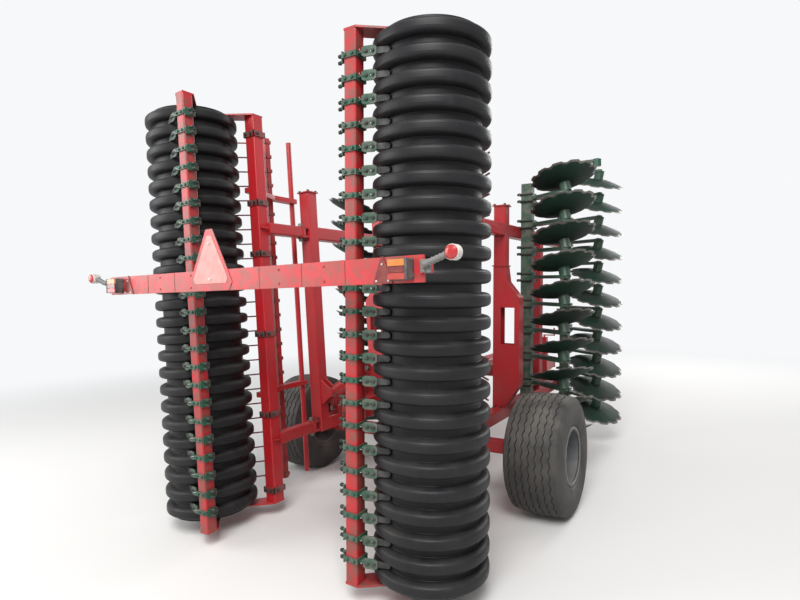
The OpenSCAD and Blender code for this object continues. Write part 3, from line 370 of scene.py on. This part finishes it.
class Piece:
    """Points and faces of one added piece, in mm, with a material for each face."""

    def __init__(self):
        self.points, self.faces, self.slots, self.materials = [], [], [], []

    def slot(self, material):
        if material not in self.materials:
            self.materials.append(material)
        return self.materials.index(material)

    def add(self, points, faces, material):
        first = len(self.points)
        self.points += [Vector(p) for p in points]
        self.faces += [tuple(first + i for i in face) for face in faces]
        self.slots += [self.slot(material)] * len(faces)

    def box(self, low, high, material):
        (x0, y0, z0), (x1, y1, z1) = low, high
        points = [(x, y, z) for z in (z0, z1) for x, y in ((x0, y0), (x1, y0), (x1, y1), (x0, y1))]
        faces = [(0, 3, 2, 1), (4, 5, 6, 7), (0, 1, 5, 4), (1, 2, 6, 5), (2, 3, 7, 6), (3, 0, 4, 7)]
        self.add(points, faces, material)

    def lathe(self, start, along, profile, material, count=24, phase=0.0):
        """Turns (radius, distance) pairs about the axis from start; a list may name a material per band."""
        along = Vector(along).normalized()
        side = along.orthogonal().normalized()
        other = along.cross(side)
        rings = []
        for radius, distance in profile:
            centre = Vector(start) + along * distance
            rings.append([centre + (side * math.cos(a) + other * math.sin(a)) * radius
                          for a in (phase + 2 * math.pi * i / count for i in range(count))])
        for k in range(len(profile) - 1):
            band = material[k] if isinstance(material, (list, tuple)) else material
            low, high = rings[k], rings[k + 1]
            if profile[k][0] == 0:
                self.add([low[0]] + high, [(0, i + 1, (i + 1) % count + 1) for i in range(count)], band)
            elif profile[k + 1][0] == 0:
                self.add(low + [high[0]], [((i + 1) % count, i, count) for i in range(count)], band)
            else:
                self.add(low + high, [((i + 1) % count, i, count + i, count + (i + 1) % count)
                                      for i in range(count)], band)

    def rod(self, start, end, radius, material, count=16):
        length = (Vector(end) - Vector(start)).length
        soft = min(radius * 0.15, length * 0.2, 2)
        self.lathe(start, Vector(end) - Vector(start),
                   [(0, 0), (radius - soft, 0), (radius, soft), (radius, length - soft),
                    (radius - soft, length), (0, length)], material, count)

    def bolt(self, place, out, size, material=BOLT, washer=True):
        """Hex head of the given width across its flats, with its washer, standing on the place."""
        out = Vector(out).normalized()
        place = Vector(place)
        lift = 0
        if washer:
            self.rod(place - out, place + out * size * 0.12, size * 0.62, material, 16)
            lift = size * 0.12
        corner, shoulder, top = size * 0.577, size * 0.5, size * 0.58
        self.lathe(place + out * (lift - 0.5), out,
                   [(0, 0), (corner, 0), (corner, shoulder), (corner * 0.84, top), (0, top)],
                   material, 6, phase=0.3)

    def ring(self, low, high, gap, material):
        """Band round a square tube that runs along X: four strips between the outer box and the tube."""
        (x0, y0, z0), (x1, y1, z1) = low, high
        self.box((x0, y0, z0), (x1, y0 + gap, z1), material)
        self.box((x0, y1 - gap, z0), (x1, y1, z1), material)
        self.box((x0, y0, z0), (x1, y1, z0 + gap), material)
        self.box((x0, y0, z1 - gap), (x1, y1, z1), material)

    def make(self, name, matrix, body, smooth=35, replaces=()):
        mesh = bpy.data.meshes.new(name)
        faces = self.faces
        if matrix.determinant() < 0:
            faces = [tuple(reversed(face)) for face in faces]
        mesh.from_pydata([matrix @ p for p in self.points], [], faces)
        for material in self.materials:
            mesh.materials.append(material)
        mesh.polygons.foreach_set("material_index", self.slots)
        mesh.polygons.foreach_set("use_smooth", [True] * len(faces))
        mesh.update()
        mesh.set_sharp_from_angle(angle=math.radians(smooth))
        thing = bpy.data.objects.new(name, mesh)
        bpy.context.scene.collection.objects.link(thing)
        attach(thing, body)
        if replaces:
            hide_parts(*replaces)


def make_rings(name, side):
    """Rubber rings with rounded shoulders and a fine moulding lip at each crest's edge."""
    flank = (PITCH - CREST - FLOOR) / 2
    rise = ROLLER_R - GROOVE_R - 6
    steps = 9
    lobe = [(GROOVE_R, 0), (GROOVE_R, FLOOR / 2 - 3), (GROOVE_R + 1.5, FLOOR / 2 - 1)]
    for i in range(steps + 1):
        a = math.pi / 2 * i / steps
        lobe.append((ROLLER_R - 1.5 - (rise - 1.5) * (1 - math.sin(a)),
                     FLOOR / 2 + flank * (1 - math.cos(a))))
    lobe += [(ROLLER_R - 0.3, FLOOR / 2 + flank + 4), (ROLLER_R, PITCH / 2)]
    lobe += [(r, PITCH - t) for r, t in reversed(lobe[1:-1])]
    profile = [(DRUM_R, 0)]
    for k in range(RINGS):
        profile += [(r, t + k * PITCH) for r, t in lobe]
    profile += [(GROOVE_R, RINGS * PITCH), (DRUM_R, RINGS * PITCH)]
    piece = Piece()
    piece.lathe((WING_IN, 0, ROLLER_R), (1, 0, 0), profile, MATERIALS["roller_rubber"], 96)
    piece.make(f"rings_look_{name}", folded(side), f"roller_{name}", smooth=50,
               replaces=[f"roller_rings_{name}"])


def make_tyre(name, side):
    """Tyre with zigzag grooves round its tread."""
    half = TYRE_W / 2
    around, waves, grooves = 144, 36, 7
    tread = half * 0.80
    gap, deep = 9.0, 13.0
    shoulder = [(RIM_R + up, wide) for up, wide in (
        (0, 0.80), (8, 0.86), (26, 0.915), (30, 0.925), (34, 0.945),
        (85, 1.0), (140, 0.998), (190, 0.962), (215, 0.925), (232, 0.87))]
    lanes = []
    for g in range(grooves):
        middle = -tread + 2 * tread * (g + 0.5) / grooves
        lanes += [(middle - gap / 2, 0), (middle - gap / 3, deep),
                  (middle + gap / 3, deep), (middle + gap / 2, 0)]

    def crown(x):
        return TYRE_R - 15 * (abs(x) / tread) ** 2.4

    rows = []
    for i in range(around):
        angle = 2 * math.pi * i / around
        phase = (i * waves * 2 / around) % 2
        zig = (phase if phase <= 1 else 2 - phase) - 0.5
        row = [(r, -w * half) for r, w in shoulder]
        row.append((crown(tread), -tread))
        for x, down in lanes:
            x += zig * 13
            row.append((crown(x) - down, x))
        row.append((crown(tread), tread))
        row += [(r, w * half) for r, w in reversed(shoulder)]
        rows.append([(x, r * math.cos(angle), r * math.sin(angle)) for r, x in row])
    width = len(rows[0])
    points = [p for row in rows for p in row]
    faces = []
    for i in range(around):
        after = (i + 1) % around
        for k in range(width - 1):
            faces.append((i * width + k, after * width + k, after * width + k + 1, i * width + k + 1))
    piece = Piece()
    piece.add(points, [tuple(reversed(face)) for face in faces], MATERIALS["tyre"])
    piece.make(f"tyre_look_{name}", machine(side) @ Matrix.Translation((WHEEL_X, WHEEL_Y, TYRE_R)),
               f"wheel_{name}", smooth=30, replaces=[f"tyre_{name}"])


def disc_axes(row):
    """Place of each disc's rim's middle in a row, and the way that its dish opens."""
    outward = 1 if row == 0 else -1
    opens = Vector((outward * math.cos(TILT) * math.cos(TOE),
                    math.cos(TILT) * math.sin(TOE), math.sin(TILT)))
    first = WING_IN + FIRST_DISC + (DISC_PITCH / 2 if row == 0 else 0)
    for k in range(DISC_COUNTS[row]):
        yield Vector((first + k * DISC_PITCH, DISC_Y[row] - TRAIL, DISC_Z)), opens


def disc_face(back, opens, lift, turn):
    """Points of one face of a disc: its middle, then rings from the middle to the scalloped edge."""
    side_way = opens.orthogonal().normalized()
    other = opens.cross(side_way)
    points = [back + opens * lift]
    for share in DISC_SHARES[1:]:
        thin = lift * (1 if share < 0.92 else (0.75 if share < 0.99 else 0.12))
        for i in range(DISC_STEPS):
            a = 2 * math.pi * (i / DISC_STEPS + turn)
            bite = max(0.0, math.cos(2 * math.pi * i / SCALLOP_STEPS)) ** 0.8
            r = share * (DISC_R - EDGE_BITE * bite)
            bowl = max(0.0, (r - FLAT_R) / (DISC_R - FLAT_R))
            height = DISH * (0.75 * bowl + 0.25 * bowl * bowl)
            across = (side_way * math.cos(a) + other * math.sin(a)) * r
            points.append(back + across + opens * (height + thin))
    return points


def make_discs(name, side):
    """Scalloped dished discs with worn rims."""
    count = DISC_STEPS
    around = [(i, (i + 1) % count) for i in range(count)]
    bands = [[(0, 1 + i, 1 + j) for i, j in around]]
    for k in range(len(DISC_SHARES) - 2):
        low, high = 1 + k * count, 1 + (k + 1) * count
        bands.append([(low + i, high + i, high + j, low + j) for i, j in around])
    rim = 1 + (len(DISC_SHARES) - 2) * count
    piece = Piece()
    for row in (0, 1):
        for place, opens in disc_axes(row):
            turn = random.random()
            starts = []
            for lift in (0, -DISC_T):
                starts.append(len(piece.points))
                piece.points += disc_face(place - opens * DISH, opens, lift, turn)
                for k, band in enumerate(bands):
                    slot = piece.slot(BARE if k == len(bands) - 1 else MATERIALS["disc_steel"])
                    for face in band:
                        face = face if lift == 0 else tuple(reversed(face))
                        piece.faces.append(tuple(starts[-1] + i for i in face))
                        piece.slots.append(slot)
            outer, inner = (start + rim for start in starts)
            for i, j in around:
                piece.faces.append((outer + j, outer + i, inner + i, inner + j))
                piece.slots.append(piece.slot(BARE))
    piece.make(f"discs_look_{name}", folded(side), f"wing_{name}", smooth=40, replaces=[f"discs_{name}"])


def make_hubs(name, side):
    """Hub caps on the discs' arms, the bolts of each disc and each beam clamp, and the end brackets."""
    piece = Piece()
    green = MATERIALS["green_paint"]
    out, low, high = DISC_BEAM / 2 + 8, DISC_BEAM_Z - DISC_BEAM / 2, DISC_BEAM_Z + DISC_BEAM / 2
    cap = [(HUB_R, -3), (HUB_R + 3, 0), (HUB_R + 3, 6), (HUB_R - 5, 9), (HUB_R - 8, 12),
           (26, 17), (24, 24), (0, 26)]
    for row in (0, 1):
        y = DISC_Y[row]
        for place, opens in disc_axes(row):
            piece.lathe(place - opens * HUB_END, -opens, cap, [green] * 3 + [HUB] * 4, 24)
            side_way = opens.orthogonal().normalized()
            other = opens.cross(side_way)
            flat = place - opens * DISH
            for i in range(DISC_BOLTS):
                a = 2 * math.pi * i / DISC_BOLTS
                spot = flat + (side_way * math.cos(a) + other * math.sin(a)) * DISC_BOLT_R
                piece.bolt(spot, opens, 20, DARK_BOLT)
            hub_x = place.x - opens.x * HUB_END
            for x in (hub_x - 32, hub_x + 32):
                for bolt_y in (y - out - 7, y + out + 7):
                    piece.rod((x, bolt_y, low - 22), (x, bolt_y, high + 16), 7, DARK_BOLT, 10)
                    piece.bolt((x, bolt_y, high + 14), (0, 0, 1), 22, DARK_BOLT)
                piece.box((x - 13, y - out - 18, high - 1), (x + 13, y + out + 18, high + 12), green)
    # Bracket past the front beam's outer end, with its bare end hub
    end, y = FRONT_BEAM_END, DISC_Y[1]
    tip = end + BRACKET_REACH
    inner = tip - BRACKET_T
    piece.box((end, y - 44, DISC_BEAM_Z - 44), (tip, y + 44, DISC_BEAM_Z + 44), green)
    piece.box((inner, y - 58, DISC_BEAM_Z - 70), (tip, y + 58, DISC_BEAM_Z + 58), green)
    piece.box((inner, y - 40, DISC_Z + 20), (tip, y + 40, DISC_BEAM_Z - 68), green)
    piece.lathe((end + 60, y, DISC_Z + 40), (1, 0, 0),
                [(0, 0), (HUB_R, 0), (HUB_R, 74), (38, 80), (0, 82)], green, 24)
    piece.make(f"disc_fittings_{name}", folded(side), f"wing_{name}")


def make_scraper_fittings(name, side):
    """Bolts and ties of the scrapers."""
    piece = Piece()
    reach = GROOVE_R + SCRAPER_GAP
    tip = Vector((0, -reach * math.cos(SCRAPER_LOW), ROLLER_R + reach * math.sin(SCRAPER_LOW)))
    lean = Matrix.Rotation(SCRAPER_LEAN, 4, "X")
    top = SCRAPER_BEAM_Z + SCRAPER_BEAM / 2 + 16
    under = SCRAPER_BEAM_Z - SCRAPER_BEAM / 2 - 26
    rear = SCRAPER_BEAM_Y - SCRAPER_BEAM / 2 - 8
    for k in range(1, RINGS):
        x = WING_IN + k * PITCH
        for s in (-1, 1):
            piece.bolt((x + s * 18, SCRAPER_BEAM_Y - 10, top + 28), (0, 0, 1), 19, DARK_BOLT)
            piece.bolt((x + s * 18, SCRAPER_BEAM_Y + 28, top - 1), (0, 0, 1), 15, DARK_BOLT)
        for z in (-24, 24):
            piece.bolt((x, rear + 0.5, SCRAPER_BEAM_Z + z), (0, -1, 0), 17, MATERIALS["green_paint"])
        for z in (92, 128):
            place = Vector((x, 0, 0)) + tip + lean @ Vector((0, -16, z))
            piece.bolt(place, lean @ Vector((0, -1, 0)), 15, DARK_BOLT)
        tie = Vector((x + 4, SCRAPER_BEAM_Y - 8, under))
        piece.ring(tie - Vector((11, 18, 3)), tie + Vector((3, 18, 3)), 3, WHITE)
        piece.rod(tie + Vector((-4, -18, 0)), tie + Vector((2, -44, -9)), 2, WHITE, 6)
    piece.make(f"scraper_fittings_{name}", folded(side), f"wing_{name}")


def make_wing_fittings(name, side):
    """Clamp bands, nuts and flange bolts of the wing's frame, roller beam and tine bar."""
    piece = Piece()
    out = ROLLER_BEAM / 2 + CLAMP_T
    for x in CLAMPS_X:
        piece.ring((x - CLAMP_HALF, ROLLER_BEAM_Y - out, ROLLER_BEAM_Z - out),
                   (x + CLAMP_HALF, ROLLER_BEAM_Y + out, ROLLER_BEAM_Z + out), CLAMP_T + 0.5, DARK_RED)
        for way in (-out, out):
            for dz in (-26, 26):
                piece.bolt((x, ROLLER_BEAM_Y + way * 0.999, ROLLER_BEAM_Z + dz), (0, way, 0), 20, DARK_BOLT)
        for way in (-out, out):
            piece.bolt((x, ROLLER_BEAM_Y - 24, ROLLER_BEAM_Z + way * 0.999), (0, 0, way), 20, DARK_BOLT)
    half = TINE_BAR / 2
    for k in range(RINGS):
        x = WING_IN + (k + 0.5) * PITCH
        piece.ring((x - 15, TINE_BAR_Y - half - 5, TINE_BAR_Z - half + 1),
                   (x + 15, TINE_BAR_Y + half + 5, TINE_BAR_Z + half + 6), 5.5, RED)
        piece.bolt((x - 31, TINE_BAR_Y, TINE_BAR_Z - half - COIL_R), (-1, 0, 0), 17, DARK_BOLT)
        piece.bolt((x + 37, TINE_BAR_Y, TINE_BAR_Z - half - COIL_R), (1, 0, 0), 17, DARK_BOLT)
    for x in ARMS_X:
        for s in (-1, 1):
            piece.bolt((x + s * KNUCKLE_HALF - s * 0.5, KNUCKLE_Y, FRAME_Z), (s, 0, 0), 34, BOLT)
    for x, y in END_CAPS:
        for dy in (-48, 48):
            for dz in (-48, 48):
                piece.bolt((x + 9.5, y + dy, FRAME_Z + dz), (1, 0, 0), 20, DARK_BOLT)
    for y in CROSS_Y:
        for dy in (-TUBE / 2 - 14, TUBE / 2 + 14):
            for x in ARMS_X:
                way = 1 if x == ARMS_X[0] else -1
                for dz in (-30, 30):
                    piece.bolt((x + way * TUBE / 2, y + dy, FRAME_Z + dz), (way, 0, 0), 18, DARK_BOLT)
    # The inner end plates have no bearing cap outside: with both wings down they lie face to face
    piece.lathe((END_PLATE_FACE - 1, 0, ROLLER_R), (1, 0, 0),
                [(0, 0), (74, 0), (74, 10), (60, 16), (46, 20), (44, 34), (0, 36)], RED, 40)
    for i in range(6):
        a = math.pi / 3 * (i + 0.5)
        piece.bolt((END_PLATE_FACE + 9, 64 * math.cos(a), ROLLER_R + 64 * math.sin(a)), (1, 0, 0), 17, BOLT)
    piece.make(f"wing_fittings_{name}", folded(side), f"wing_{name}")


def make_rim_fittings(name, side):
    """Wheel nuts, hub cap and the rim's outer flange."""
    piece = Piece()
    face = WHEEL_X + 60
    piece.lathe((face + 48, WHEEL_Y, TYRE_R), (1, 0, 0),
                [(0, 0), (52, 0), (54, 8), (50, 26), (42, 34), (0, 36)], MATERIALS["dark_steel"], 32)
    for i in range(8):
        a = math.pi / 4 * i
        piece.bolt((face - 1, WHEEL_Y + 118 * math.cos(a), TYRE_R + 118 * math.sin(a)), (1, 0, 0), 24, BOLT)
    flange = [(-9, 0), (12, 2), (16, 8), (12, 14), (-4, 16), (-10, 8)]
    piece.lathe((WHEEL_X + TYRE_W / 2 - 31, WHEEL_Y, TYRE_R), (1, 0, 0),
                [(RIM_R + out, along) for out, along in flange], RIM_GREY, 64)
    piece.make(f"rim_fittings_{name}", machine(side), f"wheel_{name}")


def add_lamps(piece, s):
    """Lenses and hood of one side's tail lamp, reflector screws and the marker lamp with its ribbed arm."""
    face, low = BAR_Y, BAR_Z - BAR_H / 2
    lamp, y = s * (BAR_HALF - LAMP_IN), BAR_Y - 55
    outer = lamp + s * 54
    for z0, z1, lens in ((-46, -17, LENS), (-15, 13, DARK_LENS), (15, 46, AMBER)):
        x0, x1 = sorted((lamp - s * 50, lamp + s * 40))
        piece.box((x0, y - 9, BAR_Z + z0), (x1, y + 1, BAR_Z + z1), lens)
    x0, x1 = sorted((outer - s * 12, outer))
    piece.box((x0, y - 10, BAR_Z - 48), (x1, y + 2, BAR_Z + 48), MATERIALS["lamp_plastic"])
    mark = s * (BAR_HALF - REFLECTOR_IN)
    for dx, dz in ((-34, 14), (34, 14), (0, 92)):
        piece.bolt((mark + dx, face - 7.5, low + dz), (0, -1, 0), 9, WHITE, washer=False)
    head = Vector((s * (BAR_HALF + MARKER_OUT), face - 50, BAR_Z + MARKER_UP))
    piece.lathe(head + Vector((0, 2, 0)), (0, -1, 0),
                [(34, -18), (35, 0), (32, 6), (24, 14), (12, 18), (0, 19)],
                [WHITE, WHITE, LENS, LENS, LENS], 28)
    piece.lathe(head + Vector((0, 38, 0)), (0, 1, 0),
                [(34, -20), (35, 0), (32, 6), (24, 13), (12, 17), (0, 18)], WHITE, 28)
    root = Vector((s * (BAR_HALF + 15), face - 26, BAR_Z + 16))
    along = Vector((s * math.sin(MARKER_LEAN), 0, math.cos(MARKER_LEAN)))
    for share in (0.2, 0.35, 0.5, 0.65, 0.8):
        piece.lathe(root + along * MARKER_ARM * share, along, [(14, -4), (16.5, -2), (16.5, 2), (14, 4)],
                    GREY_RUBBER, 20)
    for dx, dz in ((8, -10), (28, 28)):
        piece.bolt((s * (BAR_HALF + dx), face - 14, BAR_Z + dz), (0, -1, 0), 14, BOLT)


def make_lights():
    """Lamps of both sides, board seams and studs, and the pale middle of the plate for slow vehicles."""
    piece = Piece()
    face = BAR_Y
    low, high = BAR_Z - BAR_H / 2, BAR_Z + BAR_H / 2
    for s in (-1, 1):
        add_lamps(piece, s)
    for x in [-x for x in reversed(SEAMS_X)] + list(SEAMS_X):
        piece.box((x - 1.5, face - 1.2, low + 2), (x + 1.5, face + 2, high - 2), DARK_RED)
    for x in [-x for x in reversed(STUDS_X)] + list(STUDS_X):
        for dz in (-38, 38):
            piece.bolt((x, face + 0.5, BAR_Z + dz), (0, -1, 0), 10, RED, washer=False)
    inner = [(-158, -108), (-143, -135), (143, -135), (158, -108), (20, 150), (-20, 150)]
    count = len(inner)
    points = [(PLATE_X + x, face - out, BAR_Z + PLATE_UP + z) for out in (4.6, 2) for x, z in inner]
    piece.add(points, [tuple(range(count)), tuple(reversed(range(count, 2 * count)))]
              + [(i, count + i, count + (i + 1) % count, (i + 1) % count) for i in range(count)], PINK)
    for z in (-110, 105):
        piece.bolt((PLATE_X, face - 4.2, BAR_Z + PLATE_UP + z), (0, -1, 0), 13, WHITE)
    piece.make("light_fittings", machine(), "chassis")


def make_chassis_fittings():
    """Nuts, bolts and fittings on the chassis."""
    piece = Piece()
    for s in (-1, 1):
        for y in CARRIERS_Y:
            for way in (-1, 1):
                piece.bolt((s * HINGE_X, y + way * (EAR_HALF - 0.5), HINGE_Z), (0, way, 0), 34, BOLT)
                piece.bolt((s * CARRIER_BOLT_X, y + way * 30, CARRIER_BOLT_Z), (0, 0, 1), 22, DARK_BOLT)
        for way in (-1, 1):
            face = ANCHOR_Y + way * (ANCHOR_HALF - 0.5)
            piece.bolt((s * ANCHOR_X, face, ANCHOR_Z), (0, way, 0), 32, BOLT)
        for dy in (-70, 70):
            piece.bolt((s * 60, DRAWBAR_BOLT_Y + dy, DRAWBAR_BOLT_Z), (0, 0, 1), 24, DARK_BOLT)
        for dz in (-42, 42):
            piece.bolt((s * 55, HITCH_BOLT_Y, HITCH_BOLT_Z + dz), (0, 1, 0), 24, BOLT)
    for y, way in ((BEAM_REAR, -1), (BEAM_FRONT, 1)):
        for dx in (-80, 80):
            for z in (810, 915):
                piece.bolt((dx, y - way * 0.5, z), (0, way, 0), 22, DARK_BOLT)
    piece.make("chassis_fittings", machine(), "chassis")


random.seed(7)
make_camera()
make_floor()
make_light()
dress_nodes()
for name, side in SIDES:
    make_rings(name, side)
    make_tyre(name, side)
    make_discs(name, side)
    make_hubs(name, side)
    make_scraper_fittings(name, side)
    make_wing_fittings(name, side)
    make_rim_fittings(name, side)
make_lights()
make_chassis_fittings()

bpy.context.scene.view_settings.view_transform = "Standard"
